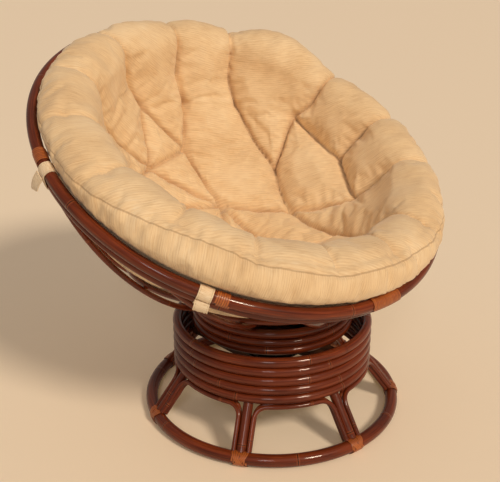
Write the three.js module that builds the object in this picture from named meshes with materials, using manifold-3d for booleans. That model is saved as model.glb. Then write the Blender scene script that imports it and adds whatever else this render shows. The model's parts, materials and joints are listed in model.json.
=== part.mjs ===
import * as THREE from 'three';
import { mergeVertices } from 'three/addons/utils/BufferGeometryUtils.js';
import Module from 'manifold-3d';

// Rattan bowl chair on a swivel rocker base. Millimetres, +Z up, the seat faces -Y.
// Angles round the chair are degrees from the front, growing toward +X.

// Clearances
const fit = 0.3;
const boreFit = 0.6;

// Floor ring and legs
const floorRingRadius = 319.5;
const floorPole = 15.5;
const legCount = 7;
const legTurn = -6.6;
const legPole = 12;
const sidePole = 6;
const sidePoleOffset = 5.7;
const archBend = 34;

// Drum of stacked rings
const drumRadius = 245;
const drumPole = 12.15;
const drumRings = 5;
const drumBottom = 124.4;

// Boards and the swivel
const baseBoardRise = 15;
const baseBoardThick = 19;
const baseBoardWidth = 70;
const boardSpacing = 120;
const plateSize = 190;
const plateCorner = 18;
const plateThick = 3;
const raceRadius = 68;
const raceWidth = 16;
const raceThick = 6;
const kingPinRadius = 8;
const kingHeadRadius = 17;
const kingHeadThick = 6;
const kingNutRadius = 14;

// Rocker
const pivotRise = 29;
const pivotRodRadius = 7;
const rodHead = 11;
const earThick = 5;
const earRadius = 16;
const earFootDepth = 44;
const sleeveRadius = 12;
const sleeveLength = 150;
const sleevePlay = 7.5;
const saddleThick = 14;
const rockerPlateRise = 25;
const rockerBoardThick = 18;
const rockerBoardWidth = 60;
const springSpacing = 130;
const springRadius = 15;
const springWire = 3;
const springCurls = 3;

// Collar that carries the bowl
const collarInset = 49;
const collarPole = 10.85;
const collarRings = 3;

// Bowl frame
const bowlRadius = 571.3;
const bowlTilt = 28.9;
const rimAngle = 68.75;
const rimPole = 13.8;
const secondPole = 11;
const ribPole = 7;
const ribCount = 11;
const ribCrossings = 5;
const hubRadius = 60;
const hubPole = 9;

// Cane bindings
const cane = 1.6;
const canePitch = 9.8;
const caneGap = 0.6;
const caneFit = 0.45;
const footLoops = 4;
const frontBindingAngle = -1.2;
const frontLoops = 9;
const sideLoops = 3;
const rearLoops = 4;

// Straight steps that each bent pole is made of
const floorRingSteps = 42;
const drumSteps = 28;
const collarSteps = 24;
const rimSteps = 44;
const roundSteps = 12;
const archBendSteps = 3;

// Cushion and its ties
const cushionThick = 120;
const edgeBulge = 22;
const bulgeFade = 40;
const edgeRows = 6;
const edgeDrop = 25;
const edgeDropTurn = 150;
const edgeDropStart = 40;
const bedRows = [16, 32, 46, 56, 62];
const seatRows = [61, 54, 47, 40, 33, 26, 18, 9];
const bedNarrowing = [52, 60];
const lobeCount = 16;
const lobeTurn = 16;
const lobeColumns = 3;
const lobeCrown = 12;
const lobeRoundness = 0.7;
const channelRange = [38, 54];
const outerTuftPolar = 52;
const outerTuftDepth = 26;
const innerTufts = 10;
const innerTuftTurn = 68;
const innerTuftPolar = 30;
const innerTuftDepth = 38;
const seatTuftTurn = 131;
const seatTuftPolar = 8;
const tuftSpread = 34;
const tieAngles = [-98, -49, 49, 98];
const tieWidth = 34;
const tieThick = 1.6;
const tieWrap = 83;
const tieTails = [44, 24, 44, 44];
const tieTailLean = 20;

const wasm = await Module();
wasm.setup();

const radians = THREE.MathUtils.degToRad;
const rattan = new THREE.MeshStandardMaterial({ color: 0x6b3218, roughness: 0.32, metalness: 0 });
const caneSkin = new THREE.MeshStandardMaterial({ color: 0xa0663a, roughness: 0.5, metalness: 0 });
const boardWood = new THREE.MeshStandardMaterial({ color: 0x4a2a1a, roughness: 0.7, metalness: 0 });
const steel = new THREE.MeshStandardMaterial({ color: 0x26272a, roughness: 0.45, metalness: 0.8 });
const springSteel = new THREE.MeshStandardMaterial({ color: 0x55585c, roughness: 0.35, metalness: 0.9 });
const fabric = new THREE.MeshStandardMaterial({ color: 0xe8d3b0, roughness: 0.95, metalness: 0 });
const webbing = new THREE.MeshStandardMaterial({ color: 0xe6d6bb, roughness: 0.95, metalness: 0 });

function piece(name, geometry, material) {
  const mesh = new THREE.Mesh(geometry, material);
  mesh.name = name;
  return mesh;
}

// Joins and cuts

function solid(geometry) {
  const bare = geometry.clone();
  bare.deleteAttribute('normal');
  bare.deleteAttribute('uv');
  const merged = mergeVertices(bare, 1e-3);
  const vertProperties = new Float32Array(merged.attributes.position.array);
  const triVerts = new Uint32Array(merged.index.array);
  return new wasm.Manifold(new wasm.Mesh({ numProp: 3, vertProperties, triVerts }));
}

function surface(body) {
  const mesh = body.getMesh();
  const geometry = new THREE.BufferGeometry();
  geometry.setAttribute('position', new THREE.BufferAttribute(mesh.vertProperties, 3));
  geometry.setIndex(new THREE.BufferAttribute(mesh.triVerts, 1));
  geometry.computeVertexNormals();
  return geometry;
}

function joined(geometries) {
  return surface(geometries.map(solid).reduce((whole, next) => whole.add(next)));
}

function cut(geometry, tools) {
  return surface(tools.map(solid).reduce((whole, next) => whole.subtract(next), solid(geometry)));
}

// Sections and sweeps

// A pole's section, its flats at the pole's radius, turned by some radians
function section(pole, sides = 8, turn = 0) {
  const step = (2 * Math.PI) / sides;
  const corner = pole / Math.cos(step / 2);
  return Array.from({ length: sides }, (_, i) => {
    const angle = turn + (i + 0.5) * step;
    return new THREE.Vector2(corner * Math.cos(angle), corner * Math.sin(angle));
  });
}

// A pole bent to a full circle round Z, its first corner at the start angle
function ring(radius, pole, steps, start = 0, sides = 8, turn = 0) {
  const profile = section(pole, sides, turn).map(({ x, y }) => new THREE.Vector2(radius + x, y));
  profile.push(profile[0].clone());
  return new THREE.LatheGeometry(profile, steps, start).rotateX(Math.PI / 2);
}

// A profile of radii and heights turned round Z
function turned(profile, steps = roundSteps) {
  const points = profile.map(([x, y]) => new THREE.Vector2(x, y));
  return new THREE.LatheGeometry(points, steps).rotateX(Math.PI / 2);
}

// The same, turned round X at the rocker's pivot
function turnedOnPivot(profile) {
  return turned(profile).rotateY(Math.PI / 2).translate(0, 0, pivotZ);
}

// A path through given points that keeps the section's first axis toward a given direction
class GuidedPath extends THREE.Curve {
  constructor(points, outward) {
    super();
    this.points = points;
    this.outward = outward;
  }

  getSpacedPoints() {
    return this.points;
  }

  computeFrenetFrames() {
    const last = this.points.length - 1;
    const tangents = this.points.map((_, i) => {
      const ahead = this.points[Math.min(i + 1, last)].clone();
      return ahead.sub(this.points[Math.max(i - 1, 0)]).normalize();
    });
    const normals = this.points.map((point, i) => {
      const side = this.outward(point, i);
      return side.addScaledVector(tangents[i], -side.dot(tangents[i])).normalize();
    });
    const binormals = tangents.map((tangent, i) => tangent.clone().cross(normals[i]));
    return { tangents, normals, binormals };
  }
}

function sweep(outline, points, outward) {
  return new THREE.ExtrudeGeometry(new THREE.Shape(outline), {
    steps: points.length - 1,
    bevelEnabled: false,
    extrudePath: new GuidedPath(points, outward),
  });
}

// A closed skin over a row of closed sections, fanned to a point at either end
function loft(sections, start, end) {
  const count = sections[0].length;
  const vertices = [...sections.flat(), start, end];
  const faces = [];
  for (let row = 0; row < sections.length - 1; row += 1) {
    for (let i = 0; i < count; i += 1) {
      const a = row * count + i;
      const b = row * count + ((i + 1) % count);
      faces.push(a, b, b + count, a, b + count, a + count);
    }
  }
  const foot = sections.length * count;
  for (let i = 0; i < count; i += 1) {
    const next = (i + 1) % count;
    faces.push(foot, next, i);
    faces.push(foot + 1, foot - count + i, foot - count + next);
  }
  const geometry = new THREE.BufferGeometry().setFromPoints(vertices);
  geometry.setIndex(faces);
  geometry.computeVertexNormals();
  return geometry;
}

function middle(points) {
  return points.reduce((sum, point) => sum.add(point), new THREE.Vector3()).divideScalar(points.length);
}

// The least distance between the corners of sections that lie at least a turn apart
function leastGap(sections, stepsPerTurn) {
  let least = Infinity;
  sections.forEach((near, i) => {
    sections.slice(i + stepsPerTurn).forEach((far) => {
      near.forEach((a) => far.forEach((b) => { least = Math.min(least, a.distanceTo(b)); }));
    });
  });
  return least;
}

function radial(angle) {
  return new THREE.Vector3(Math.sin(angle), -Math.cos(angle), 0);
}

function tangential(angle) {
  return new THREE.Vector3(Math.cos(angle), Math.sin(angle), 0);
}

// The middle of the straight step that a bent pole has at an angle
function stepMiddle(angle, steps, start) {
  const step = (2 * Math.PI) / steps;
  return start + (Math.floor((angle - start) / step) + 0.5) * step;
}

// How far in that step runs there, as a share of the pole's radius
function inset(angle, steps, start) {
  return Math.cos(Math.PI / steps) / Math.cos(angle - stepMiddle(angle, steps, start));
}

// A flat cane strip wound round a stretch of a ring, lying on its flats
function binding(name, host, loops, angle) {
  const { radius, pole, steps: ringSteps, start, turn } = host;
  const steps = loops * 8;
  const half = (canePitch - caneGap) / 2 / radius;
  const climb = canePitch / radius / 8;
  const inner = (pole + caneFit) / Math.cos(Math.PI / 8);
  const outer = (pole + caneFit + cane) / Math.cos(Math.PI / 8);
  const corners = [[inner, -half], [outer, -half], [outer, half], [inner, half]];
  const sections = Array.from({ length: steps + 1 }, (_, i) => {
    const round = turn + (i + 0.5) * (Math.PI / 4);
    const along = angle + (i - steps / 2) * climb;
    return corners.map(([reach, shift]) => {
      const place = along + shift;
      const point = radial(place);
      point.multiplyScalar((radius + reach * Math.cos(round)) * inset(place, ringSteps, start));
      point.z = reach * Math.sin(round);
      return point;
    });
  });
  console.log(`${name}: least gap to itself ${leastGap(sections, 7).toFixed(2)} mm`);
  return loft(sections, middle(sections[0]), middle(sections[steps]));
}

// Heights and places worked out from the sizes

const floorRingZ = floorPole + caneFit + cane;
const floorRingStart = radians(legTurn) - Math.PI / floorRingSteps;
const drumPitch = 2 * drumPole + fit;
const lowestDrumZ = drumBottom + drumPole;
const drumInside = (drumRadius - drumPole) * Math.cos(Math.PI / drumSteps) - fit;
const archZ = drumBottom - fit - sidePole;
const baseBoardZ = drumBottom + baseBoardRise;
const lowerPlateZ = baseBoardZ + baseBoardThick + fit;
const raceZ = lowerPlateZ + plateThick + fit;
const upperPlateZ = raceZ + raceThick + fit;
const upperPlateTop = upperPlateZ + plateThick;
const pivotZ = upperPlateTop + pivotRise;
const rockerPlateZ = pivotZ + rockerPlateRise;
const rockerBoardZ = rockerPlateZ + plateThick + fit;
const collarRadius = drumRadius - collarInset;
const collarPitch = 2 * collarPole + fit;
const lowestCollarZ = rockerBoardZ + collarPole;
const collarTopZ = lowestCollarZ + collarPitch * (collarRings - 1);
const collarInside = (collarRadius - collarPole) * Math.cos(Math.PI / collarSteps) - fit;
const collarReach = bowlRadius + fit + collarPole / Math.cos(Math.PI / 8);
const collarFlat = collarRadius * Math.cos(Math.PI / collarSteps);
const bowlCentreZ = collarTopZ + Math.sqrt(collarReach ** 2 - collarFlat ** 2);

// Base: floor ring, legs, arches and drum

// A point beside the leg at one angle: on the leg's axis at height z, moved sideways along the ring
function besideLeg(angle, z, sideways) {
  const slope = (floorRingRadius - drumRadius) / (archZ - floorRingZ);
  const reach = drumRadius + (archZ - z) * slope;
  const point = radial(angle).multiplyScalar(reach).addScaledVector(tangential(angle), sideways);
  point.z = z;
  return point;
}

function outwardFromAxis(point) {
  return new THREE.Vector3(point.x, point.y, 0).normalize();
}

function footClearance() {
  const clear = floorPole + caneFit + cane + fit;
  return ring(floorRingRadius, clear, floorRingSteps, floorRingStart).translate(0, 0, floorRingZ);
}

function leg(angle) {
  const top = lowestDrumZ + drumPole;
  const axis = [besideLeg(angle, floorRingZ, 0), besideLeg(angle, top, 0)];
  const post = sweep(section(legPole), axis, () => radial(angle));
  const lip = drumPole / 2;
  const above = new THREE.BoxGeometry(4 * drumRadius, 4 * drumRadius, 4 * drumPole);
  above.translate(0, 0, drumBottom + lip + 2 * drumPole);
  const seat = ring(drumRadius, drumPole + fit, drumSteps).translate(0, 0, lowestDrumZ);
  return cut(post, [footClearance(), above, seat]);
}

// Two thin poles side by side, as one outline
function pairSection() {
  const lobe = [-135, -67.5, 0, 67.5, 135].map(radians);
  const right = lobe.map((angle) => {
    const across = sidePoleOffset + sidePole * Math.cos(angle);
    return new THREE.Vector2(across, sidePole * Math.sin(angle));
  });
  const left = right.map(({ x, y }) => new THREE.Vector2(-x, -y));
  return [...right, ...left];
}

// A pair of thin poles that climbs one leg, follows the drum and comes down the next leg
function arch(start, end) {
  const beside = legPole + fit + sidePole;
  const corner = besideLeg(start, archZ, beside);
  const foot = besideLeg(start, floorRingZ, beside);
  const bendStart = corner.clone().add(foot.clone().sub(corner).setLength(archBend));
  const swing = (beside + archBend) / drumRadius;
  const onRing = (angle) => radial(angle).multiplyScalar(drumRadius).setZ(archZ);
  const bend = new THREE.QuadraticBezierCurve3(bendStart, corner, onRing(start + swing));
  const half = [foot, ...bend.getPoints(archBendSteps)];
  const span = end - start;
  const mirror = (point) => {
    const angle = Math.atan2(point.x, -point.y) - start;
    const reach = Math.hypot(point.x, point.y);
    return radial(start + span - angle).multiplyScalar(reach).setZ(point.z);
  };
  const points = [...half, onRing((start + end) / 2), ...half.map(mirror).reverse()];
  return cut(sweep(pairSection(), points, outwardFromAxis), [footClearance()]);
}

function board(x, width, thick, z, reach) {
  const halfAngle = (side) => Math.asin(side / reach);
  const shape = new THREE.Shape();
  const from = halfAngle(x - width / 2);
  const to = halfAngle(x + width / 2);
  shape.absarc(0, 0, reach, Math.PI / 2 - from, Math.PI / 2 - to, true);
  shape.absarc(0, 0, reach, to - Math.PI / 2, from - Math.PI / 2, true);
  const slab = new THREE.ExtrudeGeometry(shape, { depth: thick, bevelEnabled: false, curveSegments: 2 });
  return slab.translate(0, 0, z);
}

// Square plate with round corners and a round hole
function plate(size, thick, z, bore) {
  const side = size / 2 - plateCorner;
  const shape = new THREE.Shape();
  shape.absarc(side, side, plateCorner, 0, Math.PI / 2);
  shape.absarc(-side, side, plateCorner, Math.PI / 2, Math.PI);
  shape.absarc(-side, -side, plateCorner, Math.PI, Math.PI * 1.5);
  shape.absarc(side, -side, plateCorner, Math.PI * 1.5, Math.PI * 2);
  if (bore) {
    shape.holes.push(new THREE.Path(section(bore, roundSteps)));
  }
  const sheet = new THREE.ExtrudeGeometry(shape, { depth: thick, bevelEnabled: false, curveSegments: 2 });
  return sheet.translate(0, 0, z);
}

function buildBase() {
  const base = new THREE.Group();
  const bentPole = ring(floorRingRadius, floorPole, floorRingSteps, floorRingStart);
  const floorRing = piece('floor_ring', bentPole, rattan);
  floorRing.position.z = floorRingZ;
  base.add(floorRing);
  const host = {
    radius: floorRingRadius, pole: floorPole, steps: floorRingSteps, start: floorRingStart, turn: 0,
  };
  for (let i = 0; i < legCount; i += 1) {
    const angle = radians(legTurn + (360 / legCount) * i);
    const next = radians(legTurn + (360 / legCount) * (i + 1));
    base.add(piece(`leg_${i + 1}`, leg(angle), rattan));
    base.add(piece(`arch_${i + 1}`, arch(angle, next), rattan));
    const name = `foot_binding_${i + 1}`;
    const wound = piece(name, binding(name, host, footLoops, angle), caneSkin);
    wound.position.z = floorRingZ;
    base.add(wound);
  }
  for (let i = 0; i < drumRings; i += 1) {
    const drumRing = piece(`drum_ring_${i + 1}`, ring(drumRadius, drumPole, drumSteps), rattan);
    drumRing.position.z = lowestDrumZ + drumPitch * i;
    base.add(drumRing);
  }
  [-1, 1].forEach((side) => {
    const name = side < 0 ? 'base_board_left' : 'base_board_right';
    const x = (side * boardSpacing) / 2;
    base.add(piece(name, board(x, baseBoardWidth, baseBoardThick, baseBoardZ, drumInside), boardWood));
  });
  const lowerPlate = plate(plateSize, plateThick, lowerPlateZ, kingPinRadius + boreFit);
  base.add(piece('swivel_lower_plate', lowerPlate, steel));
  return base;
}

// Turntable: everything that swivels but doesn't rock

function ballRace() {
  const inside = raceRadius - raceWidth / 2;
  const outside = raceRadius + raceWidth / 2;
  const profile = [[inside, 0], [outside, 0], [outside, raceThick], [inside, raceThick], [inside, 0]];
  return turned(profile, 2 * roundSteps).translate(0, 0, raceZ);
}

// The pin hangs below the lower plate by its head and ends in a nut on the upper plate
function kingPin() {
  const headTop = lowerPlateZ - fit;
  const nutFoot = upperPlateTop + fit;
  return turned([
    [0, headTop - kingHeadThick],
    [kingHeadRadius, headTop - kingHeadThick],
    [kingHeadRadius, headTop],
    [kingPinRadius, headTop],
    [kingPinRadius, nutFoot],
    [kingNutRadius, nutFoot],
    [kingNutRadius, nutFoot + kingHeadThick],
    [0, nutFoot + kingHeadThick],
  ]);
}

const earSpacing = sleeveLength + 2 * sleevePlay + earThick;

// Upright ear with a foot that lies on the upper plate; the rod passes through its hole
function ear(side) {
  const foot = upperPlateTop + fit;
  const shape = new THREE.Shape();
  shape.moveTo(-earFootDepth / 2, foot - pivotZ);
  shape.lineTo(earFootDepth / 2, foot - pivotZ);
  shape.absarc(0, 0, earRadius, 0, Math.PI);
  shape.closePath();
  shape.holes.push(new THREE.Path(section(pivotRodRadius + fit, roundSteps)));
  const web = new THREE.ExtrudeGeometry(shape, { depth: earThick, bevelEnabled: false, curveSegments: 6 });
  web.rotateX(Math.PI / 2).rotateZ(Math.PI / 2);
  web.translate((side * earSpacing) / 2 - earThick / 2, 0, pivotZ);
  const lip = new THREE.BoxGeometry(3 * earThick, earFootDepth, earThick);
  lip.translate(side * (earSpacing / 2 - earThick), 0, foot + earThick / 2);
  return joined([web, lip]);
}

function pivotRod() {
  const reach = earSpacing / 2 + earThick / 2 + fit;
  const head = rodHead / 2;
  return turnedOnPivot([
    [0, -reach - head],
    [rodHead, -reach - head],
    [rodHead, -reach],
    [pivotRodRadius, -reach],
    [pivotRodRadius, reach],
    [rodHead, reach],
    [rodHead, reach + head],
    [0, reach + head],
  ]);
}

function spring(name, x, y) {
  const foot = upperPlateTop + fit;
  const height = rockerPlateZ - upperPlateTop - 2 * fit;
  const straight = 2 * springWire;
  const steps = springCurls * 8;
  const climb = (height - 2 * straight) / steps;
  const at = (step, z) => radial((step * Math.PI) / 4).multiplyScalar(springRadius).setZ(z);
  const points = [at(0, foot)];
  for (let i = 0; i <= steps; i += 1) {
    points.push(at(i, foot + straight + climb * i));
  }
  points.push(at(steps, foot + height));
  const path = new GuidedPath(points, outwardFromAxis);
  const { normals, binormals } = path.computeFrenetFrames();
  const wire = section(springWire, 5);
  const sections = points.map((point, i) => wire.map((corner) => point.clone()
    .addScaledVector(normals[i], corner.x)
    .addScaledVector(binormals[i], corner.y)));
  console.log(`${name}: least gap to itself ${leastGap(sections, 7).toFixed(2)} mm`);
  return loft(sections, points[0], points[points.length - 1]).translate(x, y, 0);
}

function buildTurntable() {
  const turntable = new THREE.Group();
  turntable.add(piece('ball_race', ballRace(), springSteel));
  const upperPlate = plate(plateSize, plateThick, upperPlateZ, kingPinRadius + boreFit);
  turntable.add(piece('swivel_upper_plate', upperPlate, steel));
  turntable.add(piece('king_pin', kingPin(), springSteel));
  turntable.add(piece('rocker_ear_left', ear(-1), steel));
  turntable.add(piece('rocker_ear_right', ear(1), steel));
  turntable.add(piece('pivot_rod', pivotRod(), springSteel));
  const half = springSpacing / 2;
  [[-half, -half], [half, -half], [-half, half], [half, half]].forEach(([x, y], i) => {
    const name = `rocker_spring_${i + 1}`;
    turntable.add(piece(name, spring(name, x, y), springSteel));
  });
  return turntable;
}

// Rocker: sleeve, plate, boards and collar

function rockerSleeve() {
  const tube = turnedOnPivot([
    [pivotRodRadius + boreFit, -sleeveLength / 2],
    [sleeveRadius, -sleeveLength / 2],
    [sleeveRadius, sleeveLength / 2],
    [pivotRodRadius + boreFit, sleeveLength / 2],
    [pivotRodRadius + boreFit, -sleeveLength / 2],
  ]);
  const saddleTop = rockerPlateZ - fit;
  const saddleFoot = pivotZ + (sleeveRadius + pivotRodRadius + boreFit) / 2;
  const saddle = new THREE.BoxGeometry(sleeveLength, saddleThick, saddleTop - saddleFoot);
  saddle.translate(0, 0, (saddleTop + saddleFoot) / 2);
  return joined([tube, saddle]);
}

function buildRocker() {
  const rocker = new THREE.Group();
  rocker.add(piece('rocker_sleeve', rockerSleeve(), steel));
  rocker.add(piece('rocker_plate', plate(plateSize, plateThick, rockerPlateZ, 0), steel));
  [-1, 1].forEach((side) => {
    const name = side < 0 ? 'rocker_board_left' : 'rocker_board_right';
    const x = (side * boardSpacing) / 2;
    const slab = board(x, rockerBoardWidth, rockerBoardThick, rockerBoardZ, collarInside);
    rocker.add(piece(name, slab, boardWood));
  });
  for (let i = 0; i < collarRings; i += 1) {
    const bentPole = ring(collarRadius, collarPole, collarSteps);
    const collarRing = piece(`collar_ring_${i + 1}`, bentPole, rattan);
    collarRing.position.z = lowestCollarZ + collarPitch * i;
    rocker.add(collarRing);
  }
  return rocker;
}

// Bowl, in its own frame: origin at the centre of its sphere, +Z along its axis toward the sitter

const rimSphere = bowlRadius - rimPole;
const rimPolar = radians(rimAngle);
const rimRadius = rimSphere * Math.sin(rimPolar);
const secondSphere = bowlRadius - secondPole;
const ringPitch = rimPole + secondPole + cane + caneFit + fit;
const secondPolar = rimPolar - 2 * Math.asin(ringPitch / (rimSphere + secondSphere));
const outerLayer = bowlRadius - ribPole;
const ribFlat = ribPole * Math.cos(Math.PI / 5);
const innerLayer = outerLayer - ribPole - ribFlat - fit;
const ribSpacing = (2 * Math.PI) / ribCount;
const ribTwist = (ribSpacing * ribCrossings) / 2;
const ribSteps = 2 * ribCrossings;
const ribStep = Math.hypot(secondPolar, ribTwist * Math.sin(secondPolar)) / ribSteps;
const bowlInside = innerLayer * Math.cos(ribStep / 2) - ribFlat - fit;
const rimStart = -Math.PI / rimSteps;
const tieInside = rimPole / Math.cos(Math.PI / 8) + 2 * fit;
const besideRim = (rimSphere - tieInside - tieThick) * Math.cos(Math.PI / rimSteps) - fit;

// A point of the bowl: polar angle from its bottom and angle round its axis, both in radians
function onSphere(sphere, polar, angle) {
  return radial(angle).multiplyScalar(sphere * Math.sin(polar)).setZ(-sphere * Math.cos(polar));
}

function sphereRing(sphere, polar, pole, steps, sides) {
  const turn = polar - Math.PI / 2;
  const bentPole = ring(sphere * Math.sin(polar), pole, steps, -Math.PI / steps, sides, turn);
  return bentPole.translate(0, 0, -sphere * Math.cos(polar));
}

// A rib spirals from the ring under the rim down to the hub
function rib(sphere, angle, twist) {
  const hubPolar = Math.asin(hubRadius / sphere);
  const points = Array.from({ length: ribSteps + 1 }, (_, i) => {
    const down = i / ribSteps;
    const polar = secondPolar + (hubPolar - secondPolar) * down;
    return onSphere(sphere, polar, angle + twist * down);
  });
  const fiveSided = section(ribFlat, 5, Math.PI / 5);
  return sweep(fiveSided, points, (point) => point.clone().normalize());
}

function lattice() {
  const parts = [
    sphereRing(secondSphere, secondPolar, secondPole, rimSteps, 8),
    sphereRing((outerLayer + innerLayer) / 2, Math.asin(hubRadius / outerLayer), hubPole, ribCount, 6),
  ];
  for (let i = 0; i < ribCount; i += 1) {
    const angle = ribSpacing * (i + 0.25);
    parts.push(rib(outerLayer, angle, ribTwist));
    parts.push(rib(innerLayer, angle + ribSpacing / 2, -ribTwist));
  }
  return joined(parts);
}

// Hollow of the cushion at a place on its upper side: lobes, channels and sewn tufts
function tufting(polar, angle) {
  const [channelStart, channelEnd] = channelRange.map(radians);
  const channel = THREE.MathUtils.smoothstep(polar, channelStart, channelEnd);
  const lobe = Math.abs(Math.sin((lobeCount / 2) * (angle - radians(lobeTurn)))) ** lobeRoundness;
  const place = onSphere(bowlRadius, polar, angle);
  const tuft = (tuftPolar, tuftAngle, depth) => {
    const stitch = onSphere(bowlRadius, radians(tuftPolar), radians(tuftAngle));
    return depth * Math.exp(-((place.distanceTo(stitch) / tuftSpread) ** 2));
  };
  let hollow = lobeCrown * (1 - lobe) * channel + tuft(seatTuftPolar, seatTuftTurn, innerTuftDepth);
  for (let i = 0; i < lobeCount; i += 1) {
    hollow += tuft(outerTuftPolar, lobeTurn + (360 / lobeCount) * i, outerTuftDepth);
  }
  for (let i = 0; i < innerTufts; i += 1) {
    hollow += tuft(innerTuftPolar, innerTuftTurn + (360 / innerTufts) * i, innerTuftDepth);
  }
  return hollow;
}

// Round pad bent to the bowl, with a round edge that stands above the rim and bulges over it
function cushion() {
  const columns = lobeCount * lobeColumns;
  const around = Array.from({ length: columns }, (_, i) => radians(lobeTurn + (360 / columns) * i));
  const half = cushionThick / 2;
  const middleSphere = bowlInside - half;
  const upperSphere = middleSphere - half;
  const relief = bowlInside - besideRim;
  const [reliefStart, reliefEnd] = bedNarrowing.map(radians);
  const bed = (polar) => bowlInside - relief * THREE.MathUtils.smoothstep(polar, reliefStart, reliefEnd);
  const drop = (angle) => (edgeDrop * (1 + Math.cos(angle - radians(edgeDropTurn)))) / 2;
  const edgePolar = (angle) => rimPolar - drop(angle) / middleSphere;
  const dropStart = radians(edgeDropStart);
  const lowered = (row, angle) => (
    row - (rimPolar - edgePolar(angle)) * THREE.MathUtils.smoothstep(row, dropStart, rimPolar));
  const sections = bedRows.map(radians).map((row) => around.map((angle) => {
    const polar = lowered(row, angle);
    return onSphere(bed(polar), polar, angle);
  }));
  const fullestBulge = 2 / Math.sqrt(27);
  for (let i = 0; i <= edgeRows; i += 1) {
    const turn = (Math.PI * i) / edgeRows;
    const bulge = (Math.sin(turn) ** 2 * Math.max(Math.cos(turn), 0)) / fullestBulge;
    sections.push(around.map((angle) => {
      const hollow = tufting(rimPolar, angle) * Math.sin(Math.min(turn, Math.PI / 2));
      const overRim = edgeBulge * Math.max(1 - drop(angle) / bulgeFade, 0) ** 2;
      const reach = half + overRim * bulge - (i === 0 ? relief : hollow);
      const polar = edgePolar(angle) + (reach * Math.sin(turn)) / middleSphere;
      return onSphere(middleSphere + reach * Math.cos(turn), polar, angle);
    }));
  }
  seatRows.map(radians).forEach((row) => {
    sections.push(around.map((angle) => {
      const polar = lowered(row, angle);
      return onSphere(upperSphere + tufting(polar, angle), polar, angle);
    }));
  });
  const bottom = onSphere(bowlInside, 0, 0);
  const seat = onSphere(upperSphere + tufting(0, 0), 0, 0);
  return loft(sections, bottom, seat);
}

// A flat band looped round the rim and the ring below it, with one end left hanging
function tie(angle, tailLength) {
  const flat = Math.cos(Math.PI / rimSteps);
  const centreOf = ({ y, z }) => new THREE.Vector2(-y * flat, z);
  const rim = centreOf(onSphere(rimSphere, rimPolar, 0));
  const second = centreOf(onSphere(secondSphere, secondPolar, 0));
  const secondInside = secondPole / Math.cos(Math.PI / 8) + 2 * fit;
  const down = second.clone().sub(rim).angle();
  const wrap = radians(tieWrap);
  const outline = (grow) => {
    const path = new THREE.Path();
    path.absarc(rim.x, rim.y, tieInside + grow, down + wrap, down - wrap);
    path.absarc(second.x, second.y, secondInside + grow, down - wrap, down + wrap);
    return path.getPoints(3);
  };
  const band = new THREE.Shape(outline(tieThick));
  band.holes.push(new THREE.Path(outline(0).reverse()));
  const settings = { depth: tieWidth, bevelEnabled: false };
  const loop = new THREE.ExtrudeGeometry(band, settings);
  const along = (turn, length) => new THREE.Vector2(Math.cos(down + turn), Math.sin(down + turn))
    .multiplyScalar(length);
  const tailTop = along(Math.PI / 2, tieInside + tieThick / 2).add(rim);
  const hang = along(radians(tieTailLean), tailLength);
  const across = new THREE.Vector2(-hang.y, hang.x).setLength(tieThick);
  const tailOutline = [
    tailTop,
    tailTop.clone().add(hang),
    tailTop.clone().add(hang).add(across),
    tailTop.clone().add(across),
  ];
  const tail = new THREE.ExtrudeGeometry(new THREE.Shape(tailOutline), settings);
  const both = joined([loop, tail]);
  const flatAngle = stepMiddle(angle, rimSteps, rimStart);
  const shift = rimRadius * flat * Math.tan(angle - flatAngle);
  both.translate(0, 0, -tieWidth / 2 - shift).rotateX(Math.PI / 2);
  return both.rotateZ(flatAngle - Math.PI / 2);
}

function buildBowl() {
  const bowl = new THREE.Group();
  bowl.position.z = bowlCentreZ;
  bowl.rotation.x = radians(bowlTilt);
  bowl.add(piece('bowl_rim', sphereRing(rimSphere, rimPolar, rimPole, rimSteps, 8), rattan));
  bowl.add(piece('bowl_lattice', lattice(), rattan));
  const turn = rimPolar - Math.PI / 2;
  const host = { radius: rimRadius, pole: rimPole, steps: rimSteps, start: rimStart, turn };
  const besideTie = (tieAngle, loops, side) => {
    const apart = (tieWidth + (loops + 1) * canePitch) / 2 + 2 * fit;
    return stepMiddle(radians(tieAngle), rimSteps, rimStart) + (side * apart) / rimRadius;
  };
  const wraps = [
    { name: 'rim_binding_front', loops: frontLoops, angle: radians(frontBindingAngle) },
    { name: 'rim_binding_side', loops: sideLoops, angle: besideTie(tieAngles[1], sideLoops, 1) },
    { name: 'rim_binding_rear', loops: rearLoops, angle: besideTie(tieAngles[0], rearLoops, -1) },
  ];
  wraps.forEach(({ name, loops, angle }) => {
    const wound = piece(name, binding(name, host, loops, angle), caneSkin);
    wound.position.z = -rimSphere * Math.cos(rimPolar);
    bowl.add(wound);
  });
  tieAngles.forEach((angle, i) => {
    bowl.add(piece(`cushion_tie_${i + 1}`, tie(radians(angle), tieTails[i]), webbing));
  });
  bowl.add(piece('cushion', cushion(), fabric));
  return bowl;
}

// Whole chair, standing on z = 0 with the middle of its outline over the origin

const chair = new THREE.Group();
chair.add(buildBase(), buildTurntable(), buildRocker(), buildBowl());
chair.updateMatrixWorld(true);
const middleOfChair = new THREE.Box3().setFromObject(chair, true).getCenter(new THREE.Vector3());
chair.position.y = -middleOfChair.y;
const places = { swivelY: -middleOfChair.y, offX: middleOfChair.x, pivotZ, bowlCentreZ };
console.log(Object.entries(places).map(([key, value]) => `${key} ${value.toFixed(3)}`).join(', '));

export default chair;
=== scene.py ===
import json
import math
from math import cos, pi, radians, sin

import bpy
import numpy as np
from mathutils import Matrix, Vector, noise
from numpy.linalg import norm


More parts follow.
